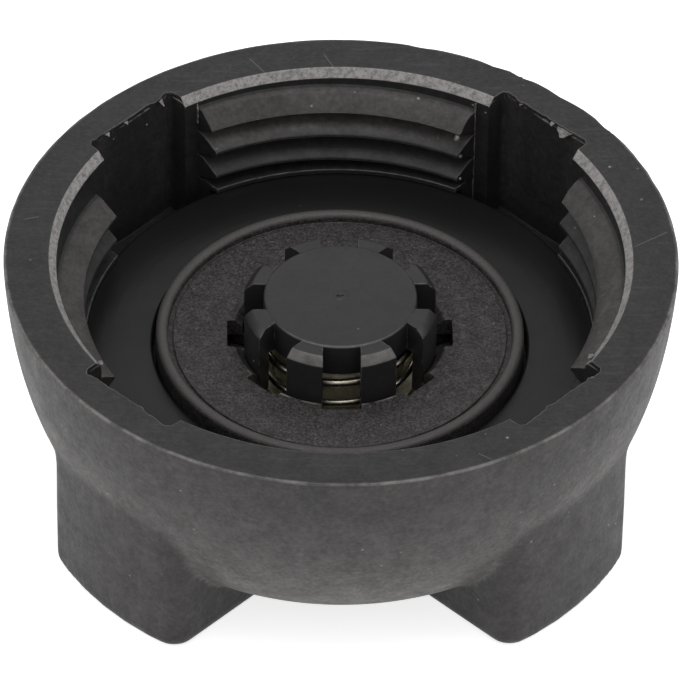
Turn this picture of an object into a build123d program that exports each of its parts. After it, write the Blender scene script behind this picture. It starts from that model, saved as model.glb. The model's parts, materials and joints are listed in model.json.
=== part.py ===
# Coolant reservoir cap, lying upside down with its threaded mouth up.
# Millimetres. Z runs up through the mouth, and the origin is the centre of the
# cross grip's resting plane.
import os
from math import atan, degrees, pi, radians, sqrt, tan

from build123d import *

os.makedirs("parts", exist_ok=True)

# Outer cap: body
total_height = 28.0
outer_radius = 32.5
body_draft = 2.5  # degrees, at the mouth: the wall narrows away from it, ever faster
wall_reach = 10.5  # how far down the wall holds its draft
dome_side_step = 3.4  # how far in the dome's side lies where it turns into the crown
crown_flat_step = 13.9  # from the outside diameter to the crown's flat
crown_height = 3.0  # how far the dome stands above the grip's resting plane
crown_thickness = 2.2

# Outer cap: cross grip, a disc with four notches that leave four arms
grip_height = 16.5
arm_end_step = 2.2
long_notch_offset = 7.25  # from an arm's middle line to its side at the front and back notches
short_notch_offset = 11.3  # the same at the left and right notches
arm_corner_radius = 2.6
arm_root_radius = 5.0
arm_edge_radius = 0.7
arm_blend_radius = 1.5  # where the arms run into the dome

# Outer cap: mouth and thread
rim_width = 4.4
mouth_step = 0.7
mouth_chamfer = 0.85
thread_pitch = 3.0
thread_height = 2.75
thread_root_step = 0.8
thread_crest_flat = 0.3
thread_flank_angle = 30.0
thread_root_gap = 0.1
thread_bite = 0.3  # how far the ridge is rooted in the wall
thread_turns = 4
thread_start_angle = -135.0  # the thread starts in a gap
thread_start_drop = 5.2  # from the rim to the crest, one turn below where the thread starts
lip_thickness = 0.5
lip_clearance = 0.15

# Outer cap: gaps that split the thread into quarters
gap_count = 4
first_gap_angle = 45.0
gap_wall_depth = 1.45
gap_wall_bow = 0.2
gap_width = 11.2
relief_outer_width = 14.0
relief_inner_width = 12.3
relief_step = 0.1  # how far the relief cuts into the wall
vent_width = 4.0
vent_depth = 1.2

# Valve insert: plate, bead and flange
insert_ledge_height = 12.8
flange_overlap = 0.55  # how far the flange reaches under the lip
flange_play = 0.5
flange_thickness = 1.7
gasket_width = 7.0
gasket_thickness = 2.4
gasket_bore_gap = 0.3
gasket_lip = 0.3
gasket_shoulder = 0.65
plate_rise = 0.9
plate_thickness = 1.9
bead_width = 1.2
bead_rise = 0.65
bead_groove_width = 0.45
bead_groove_depth = 0.3

# Valve cage, a bayonet fit in the plate
cage_overhang = 0.8  # how far the cage stands out over the valve seat's bore
cage_rise = 4.9
cage_wall = 1.2
cage_tooth_width = 2.16
cage_plug_wall = 0.7
cage_plug_depth = 3.5
cage_roof = 1.4
cage_fillet = 0.65
tooth_drop = 0.2
tooth_chamfer = 0.85
slot_count = 8
slot_share = 0.4944  # of the way round the cage
lug_reach = 1.3
lug_height = 1.3
cage_bore_gap = 0.2
notch_gap = 0.5
notch_play = 0.2
gate_radius = 0.65
gate_rise = 0.12

# Valve body, welded under the plate
tube_inset = 2.5  # from the bead's inner side to the tube's wall
tube_wall = 1.4
tube_bottom = 5.6
tube_lip_height = 0.4
tube_lip_width = 0.5
body_shoulder = 1.1
body_fit_gap = 0.15
lug_pocket_gap = 0.3
seat_height = 13.0
seat_thickness = 1.3
seat_width = 4.2
cavity_gap = 0.9
port_width = 5.0
port_height = 2.5
port_bottom = 8.0

# Pressure valve
pressure_plate_gap = 1.2
pressure_plate_thickness = 0.8
pressure_bore_gap = 0.4
pressure_seal_overlap = 0.3
pressure_seal_thickness = 1.1
pressure_wire = 1.4
pressure_spring_gap = 0.7
pressure_spring_taper = 4.0
pressure_spring_turns = 2.25

# Vacuum valve
vacuum_seat_gap = 1.0
vacuum_seal_width = 2.5
vacuum_seal_thickness = 0.8
vacuum_brim_overlap = 0.2
vacuum_hat_gap = 0.45
vacuum_sheet = 0.5
vacuum_hat_height = 5.2
vacuum_wire = 1.0
vacuum_spring_gap = 0.4
vacuum_spring_pitch = 2.6
vacuum_spring_angle = -55.0
wire_facets = 8

# Spring retainer
retainer_thickness = 1.0
retainer_gap = 0.1
retainer_hole_radius = 1.5
retainer_hole_count = 6
retainer_hole_share = 0.547  # where the holes lie, of the way out to the tube
retainer_bore_share = 0.234

# Worked out from the sizes above: cap
crown_flat_radius = outer_radius - crown_flat_step
arm_end_radius = outer_radius - arm_end_step
mouth_radius = outer_radius - rim_width
land_radius = mouth_radius - mouth_step
thread_crest_radius = land_radius - thread_height
thread_depth = thread_height - thread_root_step
flank_rise = thread_depth * tan(radians(thread_flank_angle))
thread_root_half = (thread_pitch - thread_root_gap) / 2
thread_bottom = total_height - thread_start_drop - (thread_turns - 1) * thread_pitch
gap_wall_distance = land_radius + gap_wall_depth

# Worked out: insert
flange_radius = thread_crest_radius + flange_overlap
flange_top = insert_ledge_height + flange_thickness
gasket_top = flange_top + gasket_thickness
lip_height = gasket_top + lip_clearance
recess_radius = flange_radius + flange_play
bead_outer_radius = flange_radius - gasket_width - gasket_bore_gap
bead_inner_radius = bead_outer_radius - bead_width
plate_top = gasket_top + plate_rise
plate_underside = plate_top - plate_thickness

# Worked out: valve cage and body
tube_outer_radius = bead_inner_radius - tube_inset
tube_inner_radius = tube_outer_radius - tube_wall
seat_bore_radius = tube_inner_radius - seat_width
cage_radius = seat_bore_radius + cage_overhang
slot_width = slot_share * 2 * pi * cage_radius / slot_count
notch_width = slot_width + notch_play
cage_top = plate_top + cage_rise
cage_plug_radius = cage_radius - cage_tooth_width
plug_bottom = cage_top - cage_plug_depth
lug_radius = cage_radius + lug_reach
lug_bottom = plate_underside - lug_height
notch_radius = lug_radius + notch_gap
slot_step = 360.0 / slot_count
body_radius = tube_outer_radius + body_shoulder
lug_pocket_radius = notch_radius + lug_pocket_gap
cavity_radius = tube_outer_radius + cavity_gap
cavity_floor = crown_height + crown_thickness
retainer_bottom = tube_bottom + tube_lip_height
retainer_top = retainer_bottom + retainer_thickness
retainer_hole_circle = retainer_hole_share * tube_inner_radius
retainer_bore_radius = retainer_bore_share * tube_inner_radius

# Worked out: valves
pressure_plate_radius = tube_inner_radius - pressure_plate_gap
pressure_seal_outer = pressure_plate_radius - pressure_seal_overlap
pressure_seal_inner = seat_bore_radius + pressure_seal_overlap
pressure_seal_bottom = seat_height - pressure_seal_thickness
pressure_plate_bottom = pressure_seal_bottom - pressure_plate_thickness
pressure_spring_radius = tube_inner_radius - pressure_wire / 2 - pressure_spring_gap
vacuum_brim_radius = seat_bore_radius - vacuum_seat_gap
vacuum_seal_outer = vacuum_brim_radius - vacuum_brim_overlap
vacuum_seal_inner = vacuum_seal_outer - vacuum_seal_width
pressure_plate_bore = vacuum_seal_inner - pressure_bore_gap
vacuum_seal_bottom = pressure_seal_bottom
vacuum_plate_bottom = vacuum_seal_bottom + vacuum_seal_thickness
vacuum_brim_top = vacuum_plate_bottom + vacuum_sheet
vacuum_spring_radius = cage_radius - cage_wall - vacuum_spring_gap - vacuum_wire / 2
vacuum_hat_radius = vacuum_spring_radius - vacuum_wire / 2 - vacuum_hat_gap


# Outer cap: shell, thread and grip in one moulding

with BuildPart() as cap_body:
    with BuildSketch(Plane.XZ):
        with BuildLine():
            Line((0, crown_height), (crown_flat_radius, crown_height))
            Bezier(
                (crown_flat_radius, crown_height),
                (outer_radius - dome_side_step, crown_height),
                (outer_radius - wall_reach * tan(radians(body_draft)), total_height - wall_reach),
                (outer_radius, total_height),
            )
            Line((outer_radius, total_height), (0, total_height))
            Line((0, total_height), (0, crown_height))
        make_face()
    revolve(axis=Axis.Z)

with BuildPart() as cross_grip:
    with BuildSketch():
        Circle(arm_end_radius)
        for notch_offset, notch_turn in ((long_notch_offset, 90), (short_notch_offset, 0)):
            root = notch_offset * sqrt(2)
            with PolarLocations(0, 2, notch_turn):
                Polygon(
                    (root, 0),
                    (root + outer_radius, outer_radius),
                    (root + outer_radius, -outer_radius),
                    align=None,
                    mode=Mode.SUBTRACT,
                )
        fillet(
            [v for v in vertices() if Vector(v.X, v.Y).length < arm_end_radius - 0.01],
            arm_root_radius,
        )
        fillet(
            [v for v in vertices() if Vector(v.X, v.Y).length > arm_end_radius - 0.01],
            arm_corner_radius,
        )
    extrude(amount=grip_height)
    fillet(faces().sort_by(Axis.Z)[0].edges(), arm_edge_radius)

with BuildPart() as thread_ridge:
    with BuildLine():
        Helix(thread_pitch, thread_turns * thread_pitch, thread_crest_radius,
              center=(0, 0, thread_bottom))
    with BuildSketch(Plane.XZ.shift_origin((thread_crest_radius, 0, thread_bottom))):
        Polygon(
            (0, -thread_crest_flat / 2),
            (thread_depth, -thread_crest_flat / 2 - flank_rise),
            (thread_height, -thread_root_half),
            (thread_height + thread_bite, -thread_root_half),
            (thread_height + thread_bite, thread_root_half),
            (thread_height, thread_root_half),
            (thread_depth, thread_crest_flat / 2 + flank_rise),
            (0, thread_crest_flat / 2),
            align=None,
        )
    sweep(is_frenet=True)
    with BuildSketch(Plane.XY.offset(lip_height + lip_thickness)):
        Circle(outer_radius)
    extrude(amount=total_height, mode=Mode.INTERSECT)

with BuildPart() as outer_cap:
    add(cap_body.part)
    add(cross_grip.part)
    fillet(
        new_edges(cap_body.part, cross_grip.part, combined=outer_cap.part),
        arm_blend_radius,
    )
    with BuildSketch(Plane.XZ):
        with BuildLine():
            Polyline(
                (0, cavity_floor),
                (cavity_radius, cavity_floor),
                (cavity_radius, insert_ledge_height),
                (recess_radius, insert_ledge_height),
                (recess_radius, lip_height),
                (thread_crest_radius, lip_height),
                (thread_crest_radius, lip_height + lip_thickness),
                (land_radius, lip_height + lip_thickness),
                (land_radius, total_height),
                (0, total_height),
                close=True,
            )
        make_face()
    revolve(axis=Axis.Z, mode=Mode.SUBTRACT)
    add(thread_ridge.part.rotate(Axis.Z, thread_start_angle))
    with BuildSketch(Plane.XZ):
        Polygon(
            (0, total_height),
            (mouth_radius, total_height),
            (2 * land_radius - mouth_radius, total_height - 2 * mouth_chamfer),
            (0, total_height - 2 * mouth_chamfer),
            align=None,
        )
    revolve(axis=Axis.Z, mode=Mode.SUBTRACT)
    gap_depth = total_height - insert_ledge_height
    relief_flare = (relief_outer_width - relief_inner_width) / 2
    relief_reach = land_radius + thread_height
    with BuildSketch(Plane.XY.offset(insert_ledge_height)):
        with PolarLocations(0, gap_count, first_gap_angle):
            Polygon(
                (cavity_radius, -relief_inner_width / 2),
                (thread_crest_radius, -relief_inner_width / 2),
                (relief_reach, -relief_outer_width / 2 - relief_flare),
                (relief_reach, relief_outer_width / 2 + relief_flare),
                (thread_crest_radius, relief_inner_width / 2),
                (cavity_radius, relief_inner_width / 2),
                align=None,
            )
        Circle(land_radius + relief_step, mode=Mode.INTERSECT)
        with PolarLocations(0, gap_count, first_gap_angle):
            Polygon(
                (cavity_radius, -gap_width / 2),
                (gap_wall_distance + gap_wall_bow, -gap_width / 2),
                (gap_wall_distance, 0),
                (gap_wall_distance + gap_wall_bow, gap_width / 2),
                (cavity_radius, gap_width / 2),
                align=None,
            )
    extrude(amount=gap_depth, mode=Mode.SUBTRACT)
    with BuildSketch(Plane.XY.offset(insert_ledge_height)):
        with PolarLocations((cavity_radius + recess_radius) / 2, gap_count, first_gap_angle):
            Rectangle(recess_radius - cavity_radius + 2 * flange_play, vent_width)
    extrude(amount=-vent_depth, mode=Mode.SUBTRACT)
outer_cap.part.label = "outer_cap"
export_step(outer_cap.part, "parts/outer_cap.step")


# Insert plate: carries the gasket, and its notched bore takes the cage

with BuildPart() as insert_plate:
    bead_tip_radius = (bead_outer_radius - bead_inner_radius) / 2
    bead_shoulder = plate_top + bead_rise - bead_tip_radius
    with BuildSketch(Plane.XZ):
        with BuildLine():
            Polyline(
                (bead_outer_radius, bead_shoulder),
                (bead_outer_radius, flange_top),
                (flange_radius, flange_top),
                (flange_radius, insert_ledge_height),
                (body_radius + body_fit_gap, insert_ledge_height),
                (body_radius + body_fit_gap, plate_underside),
                (cage_radius + cage_bore_gap, plate_underside),
                (cage_radius + cage_bore_gap, plate_top),
                (bead_inner_radius - bead_groove_width, plate_top),
                (bead_inner_radius - bead_groove_width, plate_top - bead_groove_depth),
                (bead_inner_radius, plate_top - bead_groove_depth),
                (bead_inner_radius, bead_shoulder),
            )
            ThreePointArc(
                (bead_inner_radius, bead_shoulder),
                (bead_inner_radius + bead_tip_radius, plate_top + bead_rise),
                (bead_outer_radius, bead_shoulder),
            )
        make_face()
    revolve(axis=Axis.Z)
    with BuildSketch(Plane.XY.offset(plate_underside)):
        with PolarLocations(notch_radius / 2, slot_count):
            Rectangle(notch_radius, notch_width)
        Circle(notch_radius, mode=Mode.INTERSECT)
    extrude(amount=plate_thickness, mode=Mode.SUBTRACT)
insert_plate.part.label = "insert_plate"
export_step(insert_plate.part, "parts/insert_plate.step")


# Neck gasket: flat rubber ring that seals on the tank's neck

with BuildPart() as neck_gasket:
    with BuildSketch(Plane.XY.offset(flange_top)):
        Circle(flange_radius)
        Circle(bead_outer_radius + gasket_bore_gap, mode=Mode.SUBTRACT)
    extrude(amount=gasket_thickness)
    gasket_rims = faces().sort_by(Axis.Z)[-1].edges().sort_by(SortBy.RADIUS)
    chamfer(gasket_rims[0], gasket_lip)
    chamfer(faces().sort_by(Axis.Z)[-1].edges().sort_by(SortBy.RADIUS)[-1], gasket_shoulder)
neck_gasket.part.label = "neck_gasket"
export_step(neck_gasket.part, "parts/neck_gasket.step")


# Valve body: holds the pressure seat above and the springs' retainer below

with BuildPart() as valve_body:
    with BuildSketch(Plane.XZ):
        with BuildLine():
            Polyline(
                (seat_bore_radius, seat_height),
                (tube_inner_radius, seat_height),
                (tube_inner_radius, retainer_bottom),
                (tube_inner_radius - tube_lip_width, retainer_bottom),
                (tube_inner_radius - tube_lip_width, tube_bottom),
                (tube_outer_radius, tube_bottom),
                (tube_outer_radius, seat_height),
                (body_radius, seat_height),
                (body_radius, plate_underside),
                (lug_pocket_radius, plate_underside),
                (lug_pocket_radius, seat_height + seat_thickness),
                (seat_bore_radius, seat_height + seat_thickness),
                close=True,
            )
        make_face()
    revolve(axis=Axis.Z)
    with BuildSketch(Plane.XY.offset(port_bottom)):
        with PolarLocations((tube_inner_radius + tube_outer_radius) / 2, gap_count, first_gap_angle):
            Rectangle(2 * (tube_outer_radius - tube_inner_radius), port_width)
    extrude(amount=port_height, mode=Mode.SUBTRACT)
valve_body.part.label = "valve_body"
export_step(valve_body.part, "parts/valve_body.step")


# Valve cage: slotted crown with a hooked lug on each leg

with BuildPart() as valve_cage:
    tooth_top = cage_top - tooth_drop
    with BuildSketch(Plane.XZ):
        with BuildLine():
            Polyline(
                (cage_radius, lug_bottom),
                (cage_radius, tooth_top - tooth_chamfer),
                (cage_radius - tooth_chamfer, tooth_top),
                (cage_plug_radius - tooth_drop, tooth_top),
                (cage_plug_radius - tooth_drop, plug_bottom),
                (cage_radius - cage_wall, plug_bottom),
                (cage_radius - cage_wall, lug_bottom),
                close=True,
            )
        make_face()
    revolve(axis=Axis.Z)
    with BuildSketch(Plane.XY.offset(lug_bottom)):
        with PolarLocations((cage_radius + lug_radius) / 2, slot_count, slot_step / 2):
            Rectangle(2 * (lug_radius - cage_radius), slot_width)
        Circle(lug_radius, mode=Mode.INTERSECT)
    extrude(amount=lug_height)
    with BuildSketch(Plane.XY.offset(lug_bottom)):
        with PolarLocations(cage_radius, slot_count):
            Rectangle(2 * cage_radius, slot_width)
        Circle(cage_plug_radius - 2 * tooth_drop, mode=Mode.SUBTRACT)
    extrude(amount=cage_top - lug_bottom, mode=Mode.SUBTRACT)
    with BuildSketch(Plane.XZ):
        with BuildLine():
            collar_inner_radius = cage_plug_radius - cage_plug_wall
            Polyline(
                (cage_plug_radius, cage_top - cage_fillet),
                (cage_plug_radius, plug_bottom),
                (collar_inner_radius, plug_bottom),
                (collar_inner_radius, cage_top - cage_roof),
                (0, cage_top - cage_roof),
                (0, cage_top),
                (cage_plug_radius - cage_fillet, cage_top),
            )
            RadiusArc(
                (cage_plug_radius - cage_fillet, cage_top),
                (cage_plug_radius, cage_top - cage_fillet),
                cage_fillet,
            )
        make_face()
    revolve(axis=Axis.Z)
    with BuildSketch(Plane.XY.offset(cage_top)):
        Circle(gate_radius)
    extrude(amount=gate_rise)
valve_cage.part.label = "valve_cage"
export_step(valve_cage.part, "parts/valve_cage.step")


# Vacuum valve: hat-shaped metal plate, its rubber washer and the spring in the cage

with BuildPart() as vacuum_plate:
    hat_top = vacuum_plate_bottom + vacuum_hat_height
    hat_inner = vacuum_hat_radius - vacuum_sheet
    with BuildSketch(Plane.XZ):
        with BuildLine():
            Polyline(
                (0, hat_top),
                (vacuum_hat_radius, hat_top),
                (vacuum_hat_radius, vacuum_brim_top),
                (vacuum_brim_radius, vacuum_brim_top),
                (vacuum_brim_radius, vacuum_plate_bottom),
                (hat_inner, vacuum_plate_bottom),
                (hat_inner, hat_top - vacuum_sheet),
                (0, hat_top - vacuum_sheet),
                close=True,
            )
        make_face()
    revolve(axis=Axis.Z)
    fillet(edges().filter_by(GeomType.CIRCLE).group_by(Axis.Z)[-1], 1.5 * vacuum_sheet)
vacuum_plate.part.label = "vacuum_plate"
export_step(vacuum_plate.part, "parts/vacuum_plate.step")

with BuildPart() as vacuum_seal:
    with BuildSketch(Plane.XY.offset(vacuum_seal_bottom)):
        Circle(vacuum_seal_outer)
        Circle(vacuum_seal_inner, mode=Mode.SUBTRACT)
    extrude(amount=vacuum_seal_thickness)
vacuum_seal.part.label = "vacuum_seal"
export_step(vacuum_seal.part, "parts/vacuum_seal.step")

with BuildPart() as vacuum_spring:
    low = vacuum_brim_top + vacuum_wire / 2
    high = plug_bottom - vacuum_wire / 2
    with BuildLine():
        Helix(vacuum_spring_pitch, high - low, vacuum_spring_radius, center=(0, 0, low))
    with BuildSketch(Plane.XZ.shift_origin((vacuum_spring_radius, 0, low))):
        RegularPolygon(vacuum_wire / 2, wire_facets)
    sweep(is_frenet=True)
vacuum_spring.part = vacuum_spring.part.rotate(Axis.Z, vacuum_spring_angle)
vacuum_spring.part.label = "vacuum_spring"
export_step(vacuum_spring.part, "parts/vacuum_spring.step")


# Pressure valve: sheet-metal plate, its seal ring and the conical spring below

with BuildPart() as pressure_plate:
    with BuildSketch(Plane.XY.offset(pressure_plate_bottom)):
        Circle(pressure_plate_radius)
        Circle(pressure_plate_bore, mode=Mode.SUBTRACT)
    extrude(amount=pressure_plate_thickness)
pressure_plate.part.label = "pressure_plate"
export_step(pressure_plate.part, "parts/pressure_plate.step")

with BuildPart() as pressure_seal:
    with BuildSketch(Plane.XY.offset(pressure_seal_bottom)):
        Circle(pressure_seal_outer)
        Circle(pressure_seal_inner, mode=Mode.SUBTRACT)
    extrude(amount=pressure_seal_thickness)
pressure_seal.part.label = "pressure_seal"
export_step(pressure_seal.part, "parts/pressure_seal.step")

with BuildPart() as pressure_spring:
    low = retainer_top + pressure_wire / 2
    high = pressure_plate_bottom - pressure_wire / 2
    with BuildLine():
        Helix(
            (high - low) / pressure_spring_turns,
            high - low,
            pressure_spring_radius,
            center=(0, 0, low),
            cone_angle=-degrees(atan(pressure_spring_taper / (high - low))),
        )
    with BuildSketch(Plane.XZ.shift_origin((pressure_spring_radius, 0, low))):
        RegularPolygon(pressure_wire / 2, wire_facets)
    sweep(is_frenet=True)
pressure_spring.part.label = "pressure_spring"
export_step(pressure_spring.part, "parts/pressure_spring.step")

with BuildPart() as spring_retainer:
    with BuildSketch(Plane.XY.offset(retainer_bottom)):
        Circle(tube_inner_radius - retainer_gap)
        Circle(retainer_bore_radius, mode=Mode.SUBTRACT)
        with PolarLocations(retainer_hole_circle, retainer_hole_count):
            Circle(retainer_hole_radius, mode=Mode.SUBTRACT)
    extrude(amount=retainer_thickness)
spring_retainer.part.label = "spring_retainer"
export_step(spring_retainer.part, "parts/spring_retainer.step")
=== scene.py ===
import json
from math import asin, atan2, cos, pi, radians, sin, tan
from random import Random

import bpy
from mathutils import Matrix, Vector

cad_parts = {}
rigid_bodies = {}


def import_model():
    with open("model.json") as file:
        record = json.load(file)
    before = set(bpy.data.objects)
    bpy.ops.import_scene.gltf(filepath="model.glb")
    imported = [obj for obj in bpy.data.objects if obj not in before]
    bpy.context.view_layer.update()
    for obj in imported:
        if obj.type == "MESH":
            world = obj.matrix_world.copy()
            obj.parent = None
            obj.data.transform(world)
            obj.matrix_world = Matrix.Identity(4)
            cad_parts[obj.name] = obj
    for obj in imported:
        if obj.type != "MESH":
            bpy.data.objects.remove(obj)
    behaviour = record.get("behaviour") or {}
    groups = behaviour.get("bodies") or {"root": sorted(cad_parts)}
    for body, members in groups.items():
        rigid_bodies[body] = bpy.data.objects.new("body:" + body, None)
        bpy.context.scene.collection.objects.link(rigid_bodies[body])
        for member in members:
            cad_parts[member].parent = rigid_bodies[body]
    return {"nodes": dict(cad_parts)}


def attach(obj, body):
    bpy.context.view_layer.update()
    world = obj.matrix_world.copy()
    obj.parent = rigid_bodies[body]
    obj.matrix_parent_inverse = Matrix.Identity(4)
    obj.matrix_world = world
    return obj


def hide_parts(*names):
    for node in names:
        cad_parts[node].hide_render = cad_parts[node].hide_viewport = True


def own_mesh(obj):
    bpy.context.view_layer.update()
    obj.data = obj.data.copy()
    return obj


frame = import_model()
for leftover in [o for o in bpy.data.objects if o.name in ("Cube", "Light", "Camera")]:
    bpy.data.objects.remove(leftover)
bpy.context.view_layer.update()


# Sizes in millimetres, mostly those of the solids. The torn pockets, the cage's slopes and the
# place where the thread ends follow the photograph.

MM = 0.001

TOP = 28.0
OUTER = 32.5
CROWN = 3.0
DRAFT = radians(2.5)
WALL_HEIGHT = 10.5
WALL_CURVE = ((18.6, CROWN), (29.1, CROWN), (OUTER - WALL_HEIGHT * tan(DRAFT), TOP - WALL_HEIGHT),
              (OUTER, TOP))

ARM_END = 30.55
GRIP_TOP = 17.5
LONG_NOTCH = 7.25
SHORT_NOTCH = 11.3

MOUTH = 28.1
LAND = 27.4
CHAMFER = 0.85
CHAMFER_SLOPE = 1.2143
LIP = (17.05, 17.55)
LEDGE = 12.8
RECESS = 25.7
WELL = (15.1, 5.2)

PITCH = 3.0
CREST = 24.65
ROOT = 26.6
FLANK = radians(30)
THREAD_TURNS = 4
THREAD_END = 25.25
THREAD_ANGLE = 135

GAPS = 4
GAP_ANGLE = 45.0
INSIDE = 20
POCKET_HALF = 5.6
RAGGED = (27.45, 27.7)
TEARS = (0, 0, 0, 0, 0.05, 0.12, -0.18)

FLANGE = 25.2
FLANGE_TOP = 14.5
PLATE_UNDER = 15.9
PLATE_TOP = 17.8
BEAD_TOP = 18.45
GASKET_TOP = 16.9

SLOTS = 8
NOTCH = (10.95, 1.925)
LUG = (10.7, 1.825)
CAGE = (7.14, 9.48)
CAGE_FOOT = 14.6
CAGE_CROWN = 19.2
CAGE_TOP = 22.55


# Working values: how near two points count as one, the steps of a full turn, and where each
# row of random draws starts

NEAR = 0.01
TURN_STEPS = 224
POCKET_SEED, RIM_SEED, FLASH_SEED = 40, 7, 11


# Bench work: the moves that every piece is made with

def mode(which):
    bpy.ops.object.mode_set(mode=which)


def put_down():
    if bpy.context.object and bpy.context.object.mode != "OBJECT":
        mode("OBJECT")
    bpy.ops.object.select_all(action="DESELECT")


def take(piece):
    put_down()
    piece.select_set(True)
    bpy.context.view_layer.objects.active = piece


def unpick(piece, kind="VERT"):
    """Leaves nothing of the piece's mesh selected."""
    take(piece)
    mode("EDIT")
    bpy.ops.mesh.select_mode(type=kind)
    bpy.ops.mesh.select_all(action="DESELECT")
    mode("OBJECT")


def pick_all(piece):
    unpick(piece)
    mode("EDIT")
    bpy.ops.mesh.select_all(action="SELECT")


def pick_points(piece, wanted):
    unpick(piece)
    for vertex in piece.data.vertices:
        vertex.select = wanted(vertex.co / MM)
    mode("EDIT")


def pick_edges(piece, wanted):
    unpick(piece, "EDGE")
    points = piece.data.vertices
    for edge in piece.data.edges:
        edge.select = wanted(*(points[end].co / MM for end in edge.vertices))
    mode("EDIT")


def drawn(name, outline, across=True):
    """A wire, in the XZ plane or flat in the XY plane, closed unless it ends on the axis."""
    put_down()
    bpy.ops.mesh.primitive_plane_add(size=MM, location=(0, 0, 0))
    piece = bpy.context.object
    piece.name = name
    mode("EDIT")
    bpy.ops.mesh.select_mode(type="VERT")
    bpy.ops.mesh.merge(type="CENTER")
    here = (0.0, 0.0)
    for number, (along, up) in enumerate(outline):
        step = ((along - here[0]) * MM, (up - here[1]) * MM)
        move = (step[0], 0, step[1]) if across else (step[0], step[1], 0)
        if number == 0:
            bpy.ops.transform.translate(value=move)
        else:
            bpy.ops.mesh.extrude_region_move(TRANSFORM_OT_translate={"value": move})
        here = (along, up)
    mode("OBJECT")
    if across and outline[0][0] == 0 and outline[-1][0] == 0:
        return piece
    ends = [spot(*outline[0], across), spot(*outline[-1], across)]
    pick_points(piece, lambda p: min((p - end).length for end in ends) < NEAR)
    bpy.ops.mesh.edge_face_add()
    mode("OBJECT")
    return piece


def spot(along, up, across):
    """A point of an outline, upright in the XZ plane or flat in the XY plane."""
    return Vector((along, 0, up)) if across else Vector((along, up, 0))


def round_corners(piece, corners, across=True):
    """Rounds wire corners: each is (along, up, reach of the round, steps)."""
    for along, up, reach, steps in corners:
        corner = spot(along, up, across)
        pick_points(piece, lambda p: (p - corner).length < NEAR)
        bpy.ops.mesh.bevel(affect="VERTICES", offset=reach * MM, segments=steps, profile=0.5)
        mode("OBJECT")


def tidy(piece, gap=0.0005):
    pick_all(piece)
    bpy.ops.mesh.remove_doubles(threshold=gap * MM)
    bpy.ops.mesh.normals_make_consistent(inside=False)
    mode("OBJECT")


def turned(name, outline, corners=(), steps=TURN_STEPS):
    """An upright outline turned once round the Z axis, as on a lathe."""
    piece = drawn(name, outline)
    round_corners(piece, corners)
    pick_all(piece)
    bpy.ops.mesh.spin(steps=steps, angle=2 * pi, center=(0, 0, 0), axis=(0, 0, 1))
    mode("OBJECT")
    tidy(piece)
    return piece


def raised(name, outline, low, high, corners=()):
    """A flat outline pulled up from low to high."""
    piece = drawn(name, outline, across=False)
    round_corners(piece, corners, across=False)
    pick_all(piece)
    bpy.ops.mesh.edge_face_add()
    bpy.ops.transform.translate(value=(0, 0, low * MM))
    bpy.ops.mesh.extrude_region_move(TRANSFORM_OT_translate={"value": (0, 0, (high - low) * MM)})
    mode("OBJECT")
    tidy(piece)
    return piece


def bar(name, near, far, half, low, high, corner=None):
    """A straight bar that points away from the axis. Its far corners may be rounded."""
    outline = [(near, -half), (far, -half), (far, half), (near, half)]
    corners = [(*point, *corner) for point in outline[1:3]] if corner else ()
    return raised(name, outline, low, high, corners)


def apply(piece, kind, **settings):
    take(piece)
    step = piece.modifiers.new("work", kind)
    for key, value in settings.items():
        setattr(step, key, value)
    bpy.ops.object.modifier_apply(modifier=step.name)


def combine(piece, tool, how):
    apply(piece, "BOOLEAN", operation=how, object=tool, solver="MANIFOLD")
    bpy.data.objects.remove(tool)


def cut(piece, tool):
    combine(piece, tool, "DIFFERENCE")


def fuse(piece, tool):
    combine(piece, tool, "UNION")


def wound(piece, turns, rise, iterations, steps):
    """Winds an upright wire into a helix about the Z axis and closes its two ends."""
    apply(piece, "SCREW", axis="Z", angle=2 * pi * turns, screw_offset=rise * MM,
          iterations=iterations, steps=steps, render_steps=steps, use_merge_vertices=False)
    unpick(piece, "EDGE")
    mode("EDIT")
    bpy.ops.mesh.select_non_manifold(extend=False, use_wire=False, use_boundary=True,
                                     use_multi_face=False, use_non_contiguous=False,
                                     use_verts=False)
    bpy.ops.mesh.fill_holes(sides=0)
    mode("OBJECT")
    tidy(piece)


def settle(piece):
    """Puts the piece's place, turn and scale into its mesh."""
    take(piece)
    bpy.ops.object.transform_apply(location=True, rotation=True, scale=True)


def turn_to(piece, angle):
    piece.rotation_euler.z = radians(angle)
    settle(piece)


def joined(pieces):
    put_down()
    for piece in pieces:
        piece.select_set(True)
    bpy.context.view_layer.objects.active = pieces[0]
    bpy.ops.object.join()
    return bpy.context.object


def copies_round(piece, count, first_angle=0.0):
    """count copies about the Z axis, joined into one."""
    copies = []
    for number in range(count):
        twin = piece.copy()
        twin.data = piece.data.copy()
        bpy.context.collection.objects.link(twin)
        turn_to(twin, first_angle + number * 360.0 / count)
        copies.append(twin)
    bpy.data.objects.remove(piece)
    return joined(copies)


def smooth(piece, angle):
    take(piece)
    bpy.ops.object.shade_smooth_by_angle(angle=radians(angle))


def keep(piece, name, body, slot, material, *nodes):
    piece.name = name
    piece.data.name = name
    piece.data.materials.clear()
    piece.data.materials.append(material)
    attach(piece, body)
    if nodes:
        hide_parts(*nodes)


# Shader work: a node for each sum, and the masks that the finishes are laid out with

NOISE_RANGE = (0.36, 0.64)


def add(tree, kind, **settings):
    node = tree.nodes.new(kind)
    for key, value in settings.items():
        setattr(node, key, value)
    return node


def give(tree, value, socket):
    """Sets a socket to a number, or links it."""
    if isinstance(value, (int, float)):
        socket.default_value = value
    else:
        tree.links.new(value, socket)


def calc(tree, operation, first, second=None, clamp=False):
    node = add(tree, "ShaderNodeMath", operation=operation, use_clamp=clamp)
    give(tree, first, node.inputs[0])
    if second is not None:
        give(tree, second, node.inputs[1])
    return node.outputs[0]


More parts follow.
